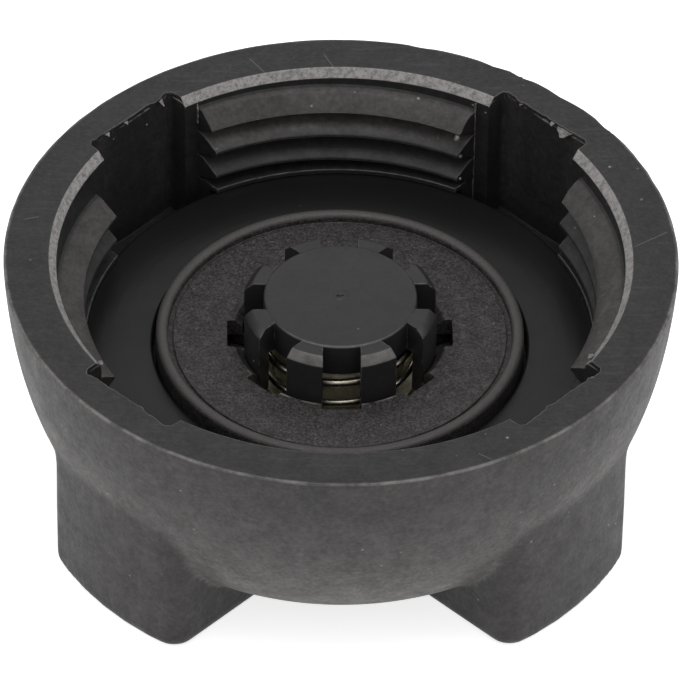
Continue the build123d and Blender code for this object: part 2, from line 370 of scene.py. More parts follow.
def both(tree, mask, *others):
    """What all the masks share."""
    for other in others:
        mask = calc(tree, "MULTIPLY", mask, other)
    return mask


def either(tree, mask, *others):
    """What any of the masks has."""
    for other in others:
        mask = calc(tree, "MAXIMUM", mask, other)
    return mask


def ramp(tree, value, low, high, start=0.0, end=1.0):
    """Start at low and end at high, straight between them."""
    node = add(tree, "ShaderNodeMapRange", clamp=True)
    give(tree, value, node.inputs["Value"])
    for name, number in (("From Min", low), ("From Max", high), ("To Min", start), ("To Max", end)):
        give(tree, number, node.inputs[name])
    return node.outputs[0]


def past(tree, value, low, high):
    """A mask that goes from nothing at low to full at high, both in millimetres."""
    return ramp(tree, value, low * MM, high * MM)


def spread(tree, value, low, high):
    """Low to high over the range in which a noise mostly lies."""
    return ramp(tree, value, *NOISE_RANGE, low, high)


def noise(tree, where, scale, detail, roughness=0.5, stretch=None):
    """A cloud pattern with scale cells to the metre."""
    if stretch:
        turn = add(tree, "ShaderNodeMapping")
        turn.inputs["Scale"].default_value = stretch
        tree.links.new(where, turn.inputs["Vector"])
        where = turn.outputs[0]
    node = add(tree, "ShaderNodeTexNoise")
    tree.links.new(where, node.inputs["Vector"])
    give(tree, scale, node.inputs["Scale"])
    node.inputs["Detail"].default_value = detail
    node.inputs["Roughness"].default_value = roughness
    return node.outputs["Fac"]


# Surface effects, built once as shader groups and placed in the materials

def effect(name, inputs, outputs):
    """An empty shader group with named sockets: returns the group, its inputs and its way out."""
    group = bpy.data.node_groups.new(name, "ShaderNodeTree")
    for socket, kind, value in inputs:
        made = group.interface.new_socket(name=socket, in_out="INPUT", socket_type=kind)
        if value is not None:
            made.default_value = value
    for socket, kind in outputs:
        group.interface.new_socket(name=socket, in_out="OUTPUT", socket_type=kind)
    entry = add(group, "NodeGroupInput")
    leave = add(group, "NodeGroupOutput")
    return group, entry.outputs, leave.inputs


def grain_effect():
    """Moulded grain: fine height, and a cloudy mottle for colour and gloss."""
    group, given, out = effect(
        "moulded grain",
        [("Where", "NodeSocketVector", None), ("Fine", "NodeSocketFloat", 2600.0),
         ("Cloud", "NodeSocketFloat", 420.0)],
        [("Height", "NodeSocketFloat"), ("Mottle", "NodeSocketFloat")],
    )
    fine = noise(group, given["Where"], given["Fine"], 3.0, 0.6)
    cloud = noise(group, given["Where"], given["Cloud"], 4.0, 0.65)
    for name, fine_share, cloud_share in (("Height", 0.6, 0.4), ("Mottle", 0.45, 0.55)):
        mixed = calc(group, "ADD", calc(group, "MULTIPLY", fine, fine_share),
                     calc(group, "MULTIPLY", cloud, cloud_share))
        group.links.new(mixed, out[name])
    return group


def dust_effect():
    """Small pale specks, thinned out by a cloud so that they lie in loose drifts."""
    group, given, out = effect(
        "dust specks",
        [("Where", "NodeSocketVector", None), ("Scale", "NodeSocketFloat", 330.0),
         ("Size", "NodeSocketFloat", 0.06), ("Amount", "NodeSocketFloat", 0.5)],
        [("Mask", "NodeSocketFloat")],
    )
    cells = add(group, "ShaderNodeTexVoronoi")
    group.links.new(given["Where"], cells.inputs["Vector"])
    group.links.new(given["Scale"], cells.inputs["Scale"])
    lots = add(group, "ShaderNodeSeparateColor")
    group.links.new(cells.outputs["Color"], lots.inputs[0])
    chosen = calc(group, "LESS_THAN", lots.outputs[0], given["Amount"])
    size = calc(group, "MULTIPLY", given["Size"], calc(group, "ADD", lots.outputs[1], 0.35))
    speck = ramp(group, cells.outputs["Distance"], size, 0.0)
    drift = ramp(group, noise(group, given["Where"], 90.0, 2.0), 0.4, 0.6)
    group.links.new(both(group, speck, chosen, drift), out["Mask"])
    return group


def wear_effect():
    """Edges where the skin is rubbed pale: strong where the surface turns within Reach."""
    group, given, out = effect(
        "rubbed edges",
        [("Where", "NodeSocketVector", None), ("Reach", "NodeSocketFloat", 0.22 * MM)],
        [("Mask", "NodeSocketFloat"), ("Normal", "NodeSocketVector")],
    )
    rounded = add(group, "ShaderNodeBevel", samples=6)
    group.links.new(given["Reach"], rounded.inputs["Radius"])
    flat = add(group, "ShaderNodeNewGeometry")
    turn = add(group, "ShaderNodeVectorMath", operation="DOT_PRODUCT")
    group.links.new(rounded.outputs[0], turn.inputs[0])
    group.links.new(flat.outputs["Normal"], turn.inputs[1])
    bend = ramp(group, turn.outputs["Value"], 0.985, 0.86)
    broken = ramp(group, noise(group, given["Where"], 700.0, 4.0, 0.7), 0.34, 0.6, 0.25, 1.0)
    group.links.new(both(group, bend, broken), out["Mask"])
    group.links.new(rounded.outputs[0], out["Normal"])
    return group


def scratch_effect():
    """Hairline scratches in two directions across a face."""
    group, given, out = effect(
        "hairline scratches",
        [("Where", "NodeSocketVector", None)],
        [("Mask", "NodeSocketFloat")],
    )
    lines = []
    for angle, scale in ((1.25, 160.0), (-0.95, 190.0)):
        turn = add(group, "ShaderNodeMapping")
        turn.inputs["Rotation"].default_value = (0, 0, angle)
        turn.inputs["Scale"].default_value = (1.0, 12.0, 12.0)
        group.links.new(given["Where"], turn.inputs["Vector"])
        lines.append(ramp(group, noise(group, turn.outputs[0], scale, 3.0, 0.55), 0.6, 0.74))
    group.links.new(either(group, *lines), out["Mask"])
    return group


def nick_effect():
    """One fine scratch from Start to End."""
    group, given, out = effect(
        "single scratch",
        [("Where", "NodeSocketVector", None), ("Start", "NodeSocketVector", (0, 0, 0)),
         ("End", "NodeSocketVector", (0, 0, 0)), ("Width", "NodeSocketFloat", 0.06 * MM)],
        [("Mask", "NodeSocketFloat")],
    )

    def vectors(operation, first, second, result="Vector"):
        node = add(group, "ShaderNodeVectorMath", operation=operation)
        group.links.new(first, node.inputs[0])
        group.links.new(second, node.inputs["Scale" if operation == "SCALE" else 1])
        return node.outputs[result]

    here = vectors("SUBTRACT", given["Where"], given["Start"])
    whole = vectors("SUBTRACT", given["End"], given["Start"])
    share = calc(group, "DIVIDE", vectors("DOT_PRODUCT", here, whole, "Value"),
                 vectors("DOT_PRODUCT", whole, whole, "Value"), clamp=True)
    distance = vectors("DISTANCE", here, vectors("SCALE", whole, share), "Value")
    group.links.new(ramp(group, distance, given["Width"], 0.0), out["Mask"])
    return group


GRAIN = grain_effect()
DUST = dust_effect()
WEAR = wear_effect()
SCRATCH = scratch_effect()
NICK = nick_effect()


# Finishes

class Finish:
    """One material: the object's own coordinates, a shader, and effects laid over its colour."""

    def __init__(self, name, colour, specular, metallic=0.0):
        self.material = bpy.data.materials.new(name)
        self.material.use_nodes = True
        self.tree = self.material.node_tree
        self.shader = self.tree.nodes["Principled BSDF"]
        self.shader.inputs["Metallic"].default_value = metallic
        self.shader.inputs["Specular IOR Level"].default_value = specular
        self.where = add(self.tree, "ShaderNodeTexCoord").outputs["Object"]
        base = add(self.tree, "ShaderNodeRGB")
        base.outputs[0].default_value = (*colour, 1)
        self.colour = base.outputs[0]

    def split(self, vector):
        parts = add(self.tree, "ShaderNodeSeparateXYZ")
        self.tree.links.new(vector, parts.inputs[0])
        return parts.outputs

    def out(self):
        """How far a point lies from the axis."""
        x, y = self.split(self.where)[:2]
        return calc(self.tree, "SQRT", calc(self.tree, "ADD", calc(self.tree, "MULTIPLY", x, x),
                                            calc(self.tree, "MULTIPLY", y, y)))

    def height(self):
        return self.split(self.where)[2]

    def front(self):
        """How far a point lies to the front of the axis."""
        return calc(self.tree, "MULTIPLY", self.split(self.where)[1], -1.0)

    def facing_up(self):
        return self.split(add(self.tree, "ShaderNodeTexCoord").outputs["Normal"])[2]

    def place(self, group, **values):
        node = add(self.tree, "ShaderNodeGroup")
        node.node_tree = group
        self.tree.links.new(self.where, node.inputs["Where"])
        for name, value in values.items():
            node.inputs[name].default_value = value
        return node.outputs

    def tint(self, mask, colour, strength=1.0):
        """Lays colour over what is there, as far as mask goes."""
        mix = add(self.tree, "ShaderNodeMix", data_type="RGBA")
        share = calc(self.tree, "MULTIPLY", mask, strength, clamp=True)
        self.tree.links.new(share, mix.inputs[0])
        self.tree.links.new(self.colour, mix.inputs[6])
        mix.inputs[7].default_value = (*colour, 1)
        self.colour = mix.outputs[2]

    def shade(self, pattern, low, high):
        """Multiplies the colour by low to high, as a noise goes from its low to its high."""
        mix = add(self.tree, "ShaderNodeVectorMath", operation="SCALE")
        self.tree.links.new(self.colour, mix.inputs[0])
        self.tree.links.new(spread(self.tree, pattern, low, high), mix.inputs["Scale"])
        self.colour = mix.outputs[0]

    def finish(self, rough, height, strength, depth, normal=None):
        """Joins colour, roughness and bump to the shader. The bump's depth is in millimetres."""
        tree = self.tree
        tree.links.new(self.colour, self.shader.inputs["Base Color"])
        tree.links.new(rough, self.shader.inputs["Roughness"])
        bump = add(tree, "ShaderNodeBump")
        bump.inputs["Strength"].default_value = strength
        bump.inputs["Distance"].default_value = depth * MM
        tree.links.new(height, bump.inputs["Height"])
        if normal is not None:
            tree.links.new(normal, bump.inputs["Normal"])
        tree.links.new(bump.outputs[0], self.shader.inputs["Normal"])
        return self.material


# Start and end of each scratch on the rim, as x and y
RIM_SCRATCHES = (((-8.6, 29.4), (-7.1, 27.2)), ((-1.2, 30.0), (-0.2, 27.9)),
                 ((28.3, 1.0), (31.5, 3.1)), ((-30.6, 5.2), (-29.2, 5.6)),
                 ((12.4, -28.2), (13.6, -29.0)))


def cap_finish():
    look = Finish("moulded nylon", (0.0172, 0.0162, 0.0165), 0.42)
    tree = look.tree
    out, height, facing_up = look.out(), look.height(), look.facing_up()
    grain = look.place(GRAIN, Fine=2600.0, Cloud=420.0)

    flat_top = ramp(tree, facing_up, 0.93, 0.99)
    wall = both(tree, past(tree, out, 29.0, 29.4), ramp(tree, flat_top, 1.0, 0.0))
    side = either(tree, wall, past(tree, height, 11.8, 11.2))
    rim = both(tree, past(tree, height, 27.8, 27.9), flat_top)
    look.tint(side, (0.0345, 0.0315, 0.0315))
    # Painted floor light: faces that look down are painted paler, as if lit by the white floor
    # under them.
    look.tint(ramp(tree, facing_up, -0.1, -0.5), (0.11, 0.102, 0.1))
    look.tint(rim, (0.0192, 0.018, 0.0188))
    # Painted light: the thread's top flank, under the mouth, is painted paler than the flanks
    # below, as if more light falls on it.
    lit_top_flank = both(tree, past(tree, out, 27.2, 27.0), ramp(tree, facing_up, 0.25, 0.5),
                      past(tree, height, 21.8, 22.6))
    look.tint(lit_top_flank, (0.042, 0.0385, 0.0372))
    look.shade(grain["Mottle"], 0.7, 1.32)
    look.shade(noise(tree, look.where, 1500.0, 3.0, 0.6), 0.8, 1.25)

    streaks = noise(tree, look.where, 1100.0, 3.0, 0.6, (1.0, 1.0, 0.12))
    look.tint(both(tree, side, ramp(tree, streaks, 0.5, 0.78)), (0.085, 0.08, 0.077), 0.12)
    mouth = both(tree, past(tree, height, 27.05, 27.12), past(tree, out, 28.3, 28.1))
    slope = both(tree, ramp(tree, facing_up, 0.3, 0.5), ramp(tree, facing_up, 0.95, 0.9))
    rough_cut = ramp(tree, noise(tree, look.where, 1900.0, 5.0, 0.8), 0.36, 0.56, 0.35, 1.0)
    look.tint(both(tree, mouth, slope, rough_cut), (0.31, 0.295, 0.29))

    look.tint(both(tree, look.place(SCRATCH)["Mask"], rim), (0.1, 0.1, 0.104), 0.16)
    for start, end in RIM_SCRATCHES:
        nick = look.place(NICK, Start=(start[0] * MM, start[1] * MM, TOP * MM),
                          End=(end[0] * MM, end[1] * MM, TOP * MM))
        look.tint(nick["Mask"], (0.16, 0.155, 0.15), 0.8)
    open_edge = either(tree, past(tree, height, 26.8, 27.0), past(tree, out, 30.2, 30.4),
                       past(tree, out, 25.6, 25.3))
    wear = look.place(WEAR, Reach=0.22 * MM)
    look.tint(both(tree, wear["Mask"], open_edge), (0.3, 0.285, 0.275), 0.5)
    # Painted highlight: a thin pale line along the rim's outer corner, broken into blobs.
    rim_highlight_line = both(tree, past(tree, out, 32.1, 32.3), past(tree, height, 27.82, 27.9))
    blobs = ramp(tree, noise(tree, look.where, 420.0, 4.0, 0.7), 0.42, 0.64, 0.2, 1.0)
    look.tint(both(tree, rim_highlight_line, blobs), (0.3, 0.29, 0.28), 0.5)
    dust = look.place(DUST, Scale=620.0, Size=0.1, Amount=0.5)
    look.tint(dust["Mask"], (0.6, 0.59, 0.57), 0.7)
    rough = spread(tree, grain["Mottle"], 0.56, 0.4)
    return look.finish(rough, grain["Height"], 0.45, 0.14, wear["Normal"])


def flash_finish():
    look = Finish("moulding flash", (0.15, 0.142, 0.137), 0.4)
    grain = look.place(GRAIN, Fine=3200.0, Cloud=900.0)
    look.shade(grain["Mottle"], 0.4, 1.8)
    rough = spread(look.tree, grain["Mottle"], 0.6, 0.45)
    return look.finish(rough, grain["Height"], 0.4, 0.1)


def insert_finish():
    look = Finish("insert nylon", (0.0315, 0.0282, 0.0285), 0.4)
    tree = look.tree
    out, height = look.out(), look.height()
    grain = look.place(GRAIN, Fine=2900.0, Cloud=800.0)
    look.shade(grain["Mottle"], 0.55, 1.5)
    look.shade(noise(tree, look.where, 4200.0, 2.0, 0.6), 0.35, 1.7)
    flecks = noise(tree, look.where, 3300.0, 2.0, 0.5)
    look.tint(ramp(tree, flecks, 0.64, 0.76), (0.16, 0.15, 0.145), 0.7)

    # Painted highlight: the rounded top of the bead is painted paler all round.
    bead = both(tree, past(tree, height, 17.95, 18.3), past(tree, out, 16.4, 16.7))
    look.tint(bead, (0.075, 0.068, 0.067), 0.8)
    # Painted highlight: a broken pale line on the front part of the centre hole's edge.
    hole_edge_highlight = both(tree, past(tree, out, 10.6, 10.45), past(tree, out, 10.0, 10.2),
                     past(tree, height, 17.4, 17.6))
    broken_glint = ramp(tree, noise(tree, look.where, 500.0, 3.0, 0.6), 0.4, 0.56)
    broken_glint = both(tree, broken_glint, past(tree, look.front(), 4.0, 6.0))
    look.tint(both(tree, hole_edge_highlight, broken_glint), (0.26, 0.25, 0.235), 0.75)
    wear = look.place(WEAR, Reach=0.18 * MM)
    look.tint(wear["Mask"], (0.2, 0.19, 0.18), 0.25)
    dust = look.place(DUST, Scale=620.0, Size=0.09, Amount=0.25)
    look.tint(dust["Mask"], (0.5, 0.49, 0.47), 0.7)
    rough = spread(tree, grain["Mottle"], 0.58, 0.38)
    return look.finish(rough, grain["Height"], 0.6, 0.16, wear["Normal"])


def cage_finish():
    look = Finish("cage nylon", (0.0197, 0.0184, 0.0194), 0.5)
    tree = look.tree
    height, facing_up = look.height(), look.facing_up()
    grain = look.place(GRAIN, Fine=2600.0, Cloud=350.0)
    look.shade(grain["Mottle"], 0.82, 1.18)

    # Painted highlight: the sloped tops of the front teeth are painted paler, in patches.
    slope = both(tree, ramp(tree, facing_up, 0.3, 0.45), ramp(tree, facing_up, 0.93, 0.85),
                 past(tree, height, 21.3, 21.5), past(tree, look.front(), 4.0, 7.5))
    patchy = ramp(tree, noise(tree, look.where, 700.0, 4.0, 0.65), 0.3, 0.6, 0.4, 1.0)
    look.tint(both(tree, slope, patchy), (0.17, 0.16, 0.15), 0.75)
    wear = look.place(WEAR, Reach=0.2 * MM)
    chips = ramp(tree, noise(tree, look.where, 900.0, 4.0, 0.7), 0.48, 0.62)
    look.tint(both(tree, wear["Mask"], chips), (0.34, 0.33, 0.32), 0.6)
    dust = look.place(DUST, Scale=700.0, Size=0.09, Amount=0.25)
    look.tint(dust["Mask"], (0.6, 0.6, 0.58), 0.75)
    rough = spread(tree, grain["Mottle"], 0.5, 0.38)
    return look.finish(rough, grain["Height"], 0.25, 0.1, wear["Normal"])


def rubber_finish():
    look = Finish("neck rubber", (0.0095, 0.0095, 0.0101), 0.36)
    tree = look.tree
    grain = look.place(GRAIN, Fine=3000.0, Cloud=250.0)
    look.shade(grain["Mottle"], 0.85, 1.15)
    dust = look.place(DUST, Scale=800.0, Size=0.07, Amount=0.18)
    look.tint(dust["Mask"], (0.4, 0.4, 0.4), 0.5)
    rings = calc(tree, "SINE", calc(tree, "MULTIPLY", look.out(), 5200.0))
    height = calc(tree, "ADD", calc(tree, "MULTIPLY", rings, 0.1), grain["Height"])
    rough = spread(tree, grain["Mottle"], 0.38, 0.28)
    return look.finish(rough, height, 0.14, 0.1)


def metal_finish(name, colour, roughness, direction):
    """Drawn or pressed metal: fine lines along one direction, and a dull cloud."""
    look = Finish(name, colour, 0.5, 1.0)
    grain = look.place(GRAIN, Fine=2600.0, Cloud=500.0)
    look.shade(grain["Mottle"], 0.7, 1.15)
    lines = noise(look.tree, look.where, 2500.0, 3.0, 0.6, direction)
    rough = ramp(look.tree, grain["Mottle"], 0.3, 0.7, roughness + 0.1, roughness - 0.08)
    return look.finish(rough, lines, 0.12, 0.05)


moulded_nylon = cap_finish()
moulded_flash = flash_finish()
insert_nylon = insert_finish()
cage_nylon = cage_finish()
neck_rubber = rubber_finish()
drawn_wire = metal_finish("drawn wire", (0.36, 0.33, 0.27), 0.28, (1.0, 1.0, 0.2))
pressed_brass = metal_finish("pressed brass", (0.72, 0.68, 0.52), 0.62, (1.0, 1.0, 0.12))
pressed_steel = metal_finish("pressed steel", (0.5, 0.5, 0.5), 0.35, (0.2, 1.0, 1.0))


# Outer cap: dome and grip melted into one, then bored, threaded and slotted

def make_outer_cap():
    shell = melted_shell()
    cut(shell, make_bore())
    fuse(shell, make_thread())
    open_gaps(shell)
    nick_rim(shell, Random(RIM_SEED))
    smooth(shell, 34)
    return shell


def melted_shell():
    """Dome and grip in one skin, with a soft crease between them. The grip's foot stays sharp."""
    over = 3
    side_steps = 30
    side = [along_curve(WALL_CURVE, step / side_steps) for step in range(side_steps + 1)]
    dome = turned("dome", [(0, CROWN), *side, (OUTER + over * tan(DRAFT), TOP + over),
                           (0, TOP + over)])
    outline, corners = grip_outline()
    grip = raised("grip", outline, 0, GRIP_TOP, corners)
    pick_edges(grip, lambda a, b: a.z < NEAR and b.z < NEAR)
    bpy.ops.mesh.bevel(offset=0.75 * MM, segments=4)
    mode("OBJECT")
    shell = joined([dome, grip])
    shell.data.remesh_voxel_size = 0.42 * MM
    shell.data.remesh_voxel_adaptivity = 0
    take(shell)
    bpy.ops.object.voxel_remesh()

    soft_from, soft_over = 7.0, 6.0
    soft = shell.vertex_groups.new(name="soft")
    for vertex in shell.data.vertices:
        weight = min(1.0, max(0.0, (vertex.co.z / MM - soft_from) / soft_over))
        soft.add([vertex.index], weight, "REPLACE")
    apply(shell, "SMOOTH", factor=0.5, iterations=2)
    apply(shell, "SMOOTH", factor=0.5, iterations=14, vertex_group="soft")
    return shell


def along_curve(curve, share):
    """A point of a curve with four control points."""
    points = [Vector(point) for point in curve]
    while len(points) > 1:
        points = [a.lerp(b, share) for a, b in zip(points, points[1:])]
    return tuple(points[0])


def grip_outline():
    """The grip from below: a disc with two long notches, front and back, and two short ones."""
    points, corners = [], []
    for quarter in range(4):
        sides = (SHORT_NOTCH, LONG_NOTCH) if quarter % 2 == 0 else (LONG_NOTCH, SHORT_NOTCH)
        middle = radians(45 + 90 * quarter)
        first, last = middle - asin(sides[0] / ARM_END), middle + asin(sides[1] / ARM_END)
        for share in (0, 0.18, 0.34, 0.5, 0.66, 0.82, 1):
            angle = first + (last - first) * share
            points.append((ARM_END * cos(angle), ARM_END * sin(angle)))
            if share in (0, 1):
                corners.append((*points[-1], 1.8, 6))
        root = sides[1] * 2 ** 0.5
        points.append((root * cos(middle + pi / 4), root * sin(middle + pi / 4)))
        corners.append((*points[-1], 5.0, 8))
    return points, corners


def make_bore():
    """All that is taken out of the mouth, with the rim's top and its small outer chamfer."""
    edge, clear = 0.16, 1.5
    outside, above = OUTER + clear, TOP + 6
    return turned("bore", [
        (0, WELL[1]), WELL, (WELL[0], LEDGE), (RECESS, LEDGE), (RECESS, LIP[0]), (CREST, LIP[0]),
        (CREST, LIP[1]), (LAND, LIP[1]), (LAND, TOP - CHAMFER), (MOUTH, TOP), (OUTER - edge, TOP),
        (outside, TOP - clear - edge), (outside, above), (0, above),
    ])


def make_thread():
    """The internal ridge, trimmed at the lip and at the mouth. It ends in the back left gap."""
    start = THREAD_END - THREAD_TURNS * PITCH
    crest = CREST + 0.1
    crest_half, root_half, bedded = 0.15, 1.45, 0.3
    rise = (ROOT - crest) * tan(FLANK)
    ridge = drawn("ridge", [
        (crest, start - crest_half), (ROOT, start - crest_half - rise), (LAND, start - root_half),
        (LAND + bedded, start - root_half), (LAND + bedded, start + root_half),
        (LAND, start + root_half), (ROOT, start + crest_half + rise), (crest, start + crest_half),
    ])
    round_corners(ridge, [(crest, start - crest_half, 0.12, 2),
                          (crest, start + crest_half, 0.12, 2)])
    wound(ridge, 1, PITCH, THREAD_TURNS, 160)
    turn_to(ridge, THREAD_ANGLE)
    middle = (LIP[0] + LIP[1]) / 2
    mouth = TOP - CHAMFER
    zone = turned("zone", [(INSIDE, middle), (LAND + 0.2, middle), (LAND + 0.2, mouth + 0.24),
                           (LAND, mouth), (INSIDE, mouth - (LAND - INSIDE) * CHAMFER_SLOPE)])
    combine(ridge, zone, "INTERSECT")
    return ridge


def open_gaps(shell):
    """The four gaps in the thread, the pockets behind them, and a vent groove under each."""
    crest_half, root_half, root, over = 6.95, 7.05, 30.15, 2
    gap = raised("gap", [(INSIDE, -crest_half), (CREST, -crest_half), (root, -root_half),
                         (root, root_half), (CREST, crest_half), (INSIDE, crest_half)],
                 LEDGE, TOP + over)
    gaps = copies_round(gap, GAPS, GAP_ANGLE)
    sides = 256
    land = raised("land", [(LAND * cos(2 * pi * side / sides), LAND * sin(2 * pi * side / sides))
                           for side in range(sides)], LEDGE - 1, TOP + 3)
    combine(gaps, land, "INTERSECT")
    cut(shell, gaps)

    back = 29.05
    pocket = raised("pocket", [(INSIDE, -POCKET_HALF), (back, -POCKET_HALF), (28.85, 0),
                               (back, POCKET_HALF), (INSIDE, POCKET_HALF)], LEDGE, RAGGED[1])
    cut(shell, copies_round(pocket, GAPS, GAP_ANGLE))
    for number in range(GAPS):
        outline = ragged_pocket(Random(POCKET_SEED + number))
        torn = raised("torn pocket", outline, RAGGED[0], TOP + over)
        turn_to(torn, GAP_ANGLE + 90 * number)
        cut(shell, torn)
    vent = bar("vent", 14.6, 26.2, 2, LEDGE - 1.2, LEDGE + 1)
    cut(shell, copies_round(vent, GAPS, GAP_ANGLE))


def pocket_back(across):
    """How far out the back of a pocket lies at the rim."""
    return 28.9 + 0.2 * (across / POCKET_HALF) ** 2


def ragged_pocket(rolls):
    """The pocket's outline where it breaks through the rim: torn along the back and the sides."""
    start, stride, side_tear = 24, 0.95, 0.14
    side_steps, back_steps = 4, 24
    points = [(start, -POCKET_HALF)]
    for step in range(1, side_steps + 1):
        points.append((start + step * stride, -POCKET_HALF - rolls.uniform(0.0, side_tear)))
    for step in range(back_steps + 1):
        across = -POCKET_HALF + 2 * POCKET_HALF * step / back_steps
        tear = rolls.choice(TEARS) + rolls.uniform(-0.03, 0.03)
        corner = 0.5 if abs(across) > POCKET_HALF - 0.1 else 0
        points.append((pocket_back(across) + tear - corner, across))
    for step in range(side_steps, 0, -1):
        points.append((start + step * stride, POCKET_HALF + rolls.uniform(0.0, side_tear)))
    points.append((start, POCKET_HALF))
    return points


def nick_rim(shell, rolls):
    """Shallow dents along the rim's outer corner, most of them on the right."""
    count = 130
    dents = []
    for number in range(count):
        deepest = 0.3 if 15 < 360 * number / count < 80 else 0.06
        dents.append(rolls.random() ** 2 * deepest)
    for vertex in shell.data.vertices:
        place = vertex.co / MM
        out = Vector(place[:2]).length
        if place.z < TOP - 0.2 or out < OUTER - 0.3:
            continue
        share = atan2(place.y, place.x) % (2 * pi) / (2 * pi) * count
        first = int(share) % count
        worn = dents[first] + (dents[(first + 1) % count] - dents[first]) * (share - int(share))
        vertex.co = place * MM - Vector((place.x, place.y, 0)) / out * worn * MM


keep(make_outer_cap(), "outer_cap_moulding", "cap", "cap_plastic", moulded_nylon, "outer_cap")


# Flash that the moulding tool left: fins, slivers at the pockets' mouths and lumps on the thread

# Angle, lowest and highest point
FINS = ((59.9, 13.1, 27.0), (120.3, 24.6, 27.0))

# Angle of the pocket, place across it, length, droop
SLIVERS = ((45, -2.6, 2.2, 0.7), (45, -1.0, 0.6, 0.35), (45, 3.2, 0.6, 0.3), (135, -4.2, 0.6, 0.75),
           (135, 0.6, 0.6, 0.35), (135, 3.1, 0.7, 0.4), (225, -4.2, 0.9, 0.4), (315, 4.1, 0.9, 0.4))

# Angle, distance from the axis, height, radius
LUMPS = ((61.6, 24.85, 24.0, 0.3), (60.4, 24.8, 21.9, 0.17), (60.3, 24.8, 19.0, 0.13),
         (118.6, 24.9, 22.6, 0.1), (57.6, 27.5, 26.2, 0.16), (213.2, 27.5, 27.6, 0.24),
         (328.6, 27.5, 27.6, 0.3))


def filled(piece):
    """A closed wire made a face."""
    pick_all(piece)
    bpy.ops.mesh.edge_face_add()
    bpy.ops.mesh.quads_convert_to_tris()
    mode("OBJECT")
    return piece


def fin(angle, low, high, rolls):
    """A ragged upright fin that stands inwards from the corner of a gap."""
    out = LAND + 0.05
    count = 22
    free_edge = []
    for step in range(count + 1):
        reach = 0.16 + 0.2 * rolls.random()
        free_edge.append((out - reach, high - (high - low) * step / count))
    piece = filled(drawn("fin", [(out + 0.1, low), (out + 0.1, high), *free_edge]))
    apply(piece, "SOLIDIFY", thickness=0.09 * MM, offset=0)
    turn_to(piece, angle)
    return piece


def sliver(angle, across, length, droop, rolls):
    """A thin torn tongue at a pocket's mouth, bent down a little."""
    out = pocket_back(across)
    half = 0.5 * length
    outline = [(out + 0.25, across - half), (out + 0.25, across + half)]
    count = 6
    for step in range(1, count):
        share = step / count
        tip = droop * sin(pi * share) * rolls.uniform(0.6, 1.1)
        outline.append((out - tip, across + half - length * share))
    piece = filled(drawn("sliver", outline, across=False))
    for vertex in piece.data.vertices:
        vertex.co.z = (TOP - 0.16) * MM - max(0.0, out * MM - vertex.co.x) * 0.8
    apply(piece, "SOLIDIFY", thickness=0.1 * MM, offset=0)
    turn_to(piece, angle)
    return piece


def lump(angle, out, high, size):
    put_down()
    bpy.ops.mesh.primitive_ico_sphere_add(subdivisions=3, radius=size * MM,
                                          location=(out * MM, 0, high * MM))
    piece = bpy.context.object
    settle(piece)
    shape = bpy.data.textures.new("lump", "CLOUDS")
    shape.noise_scale = size * 0.9 * MM
    apply(piece, "DISPLACE", texture=shape, strength=size * 0.9 * MM, mid_level=0.5,
          texture_coords="LOCAL")
    turn_to(piece, angle)
    return piece


def make_flash():
    rolls = Random(FLASH_SEED)
    bits = [fin(*place, rolls) for place in FINS]
    bits += [sliver(*place, rolls) for place in SLIVERS]
    bits += [lump(*place) for place in LUMPS]
    piece = joined(bits)
    tidy(piece, 0.00001)
    smooth(piece, 40)
    return piece


keep(make_flash(), "moulding_flash", "cap", "cap_plastic", moulded_flash)


# Insert plate with its bead, and the gasket round it

def make_insert_plate():
    bead_in, bead_out, groove, groove_floor, hole = 16.7, 17.9, 16.25, 17.5, 10.35
    plate = turned("plate", [
        (9.6, PLATE_UNDER), (15.45, PLATE_UNDER), (15.45, LEDGE), (FLANGE, LEDGE),
        (FLANGE, FLANGE_TOP), (bead_out, FLANGE_TOP), (bead_out, BEAD_TOP), (bead_in, BEAD_TOP),
        (bead_in, groove_floor), (groove, groove_floor), (groove, PLATE_TOP), (hole, PLATE_TOP),
        (9.65, 17.05),
    ], [(bead_out, BEAD_TOP, 0.6, 6), (bead_in, BEAD_TOP, 0.6, 6), (groove, PLATE_TOP, 0.14, 3),
        (hole, PLATE_TOP, 0.08, 2), (FLANGE, FLANGE_TOP, 0.3, 3)])
    cut(plate, copies_round(bar("notch", 0, *NOTCH, 15, 19, (0.25, 3)), SLOTS))
    smooth(plate, 24)
    return plate


def make_gasket():
    inner = 18.2
    ring = turned("ring", [(inner, FLANGE_TOP), (FLANGE, FLANGE_TOP), (FLANGE, GASKET_TOP),
                           (inner, GASKET_TOP)],
                  [(inner, GASKET_TOP, 0.3, 4), (FLANGE, GASKET_TOP, 0.45, 4),
                   (FLANGE, FLANGE_TOP, 0.15, 2)])
    smooth(ring, 50)
    return ring


keep(make_insert_plate(), "insert_plate_moulding", "insert", "insert_plastic", insert_nylon,
     "insert_plate")
keep(make_gasket(), "neck_gasket_ring", "insert", "gasket_rubber", neck_rubber, "neck_gasket")


# Valve cage, the two springs, and the hat plate in the cage

